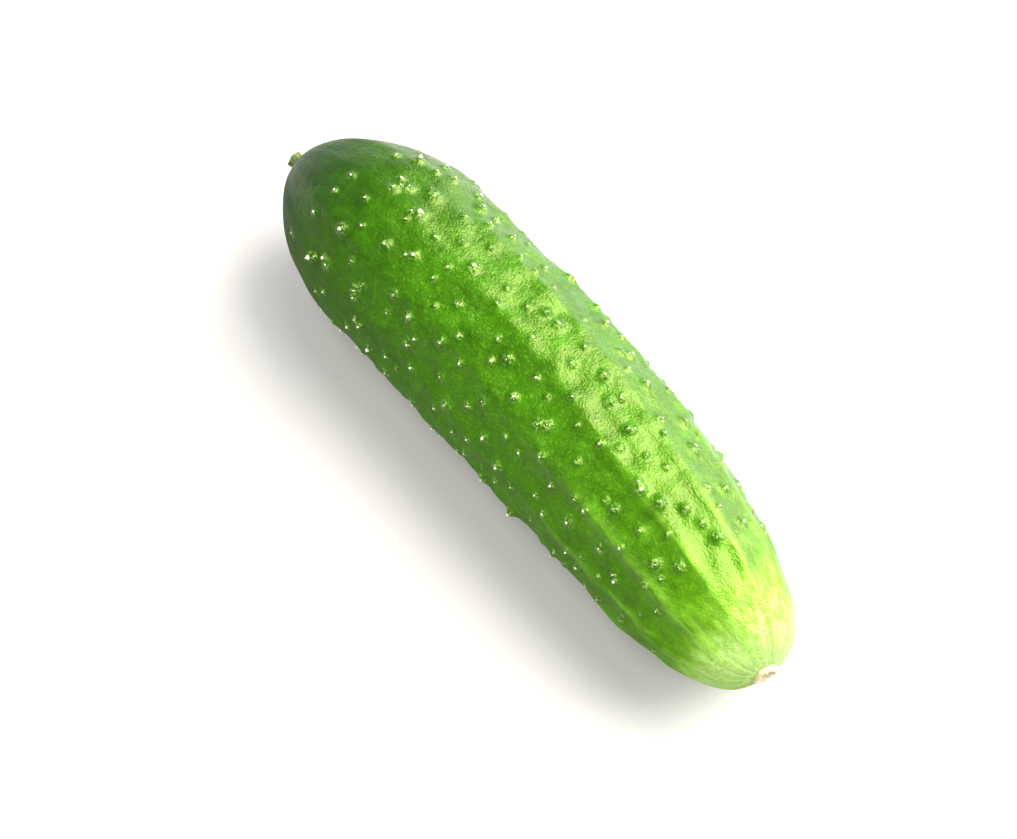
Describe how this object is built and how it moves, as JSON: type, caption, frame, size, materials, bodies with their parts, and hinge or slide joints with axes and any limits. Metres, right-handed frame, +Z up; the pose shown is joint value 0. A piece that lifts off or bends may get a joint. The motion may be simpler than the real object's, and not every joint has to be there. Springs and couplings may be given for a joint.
{
  "type": "cucumber",
  "caption": "Short warty pickling cucumber, as picked, lying on its side, with a stalk stub and a corky blossom scar.",
  "frame": {"origin": "middle of the footprint on the surface that the fruit lies on", "axes": "+X along the fruit from the stem end to the blossom end, +Y to the side that the fruit bows towards, +Z up"},
  "size_m": [0.1226, 0.0348, 0.0335],
  "materials": {
    "skin": "waxy semi-gloss, dark blue-green at the stem end, mid green along the body, pale yellow-green at the blossom end",
    "stalk": "dry fibrous, greenish brown, paler where torn",
    "scar": "matt, corky and tan, with a dark pit"
  },
  "bodies": {
    "root": {"fruit": "skin", "stem_stub": "stalk", "blossom_scar": "scar"}
  },
  "joints": []
}
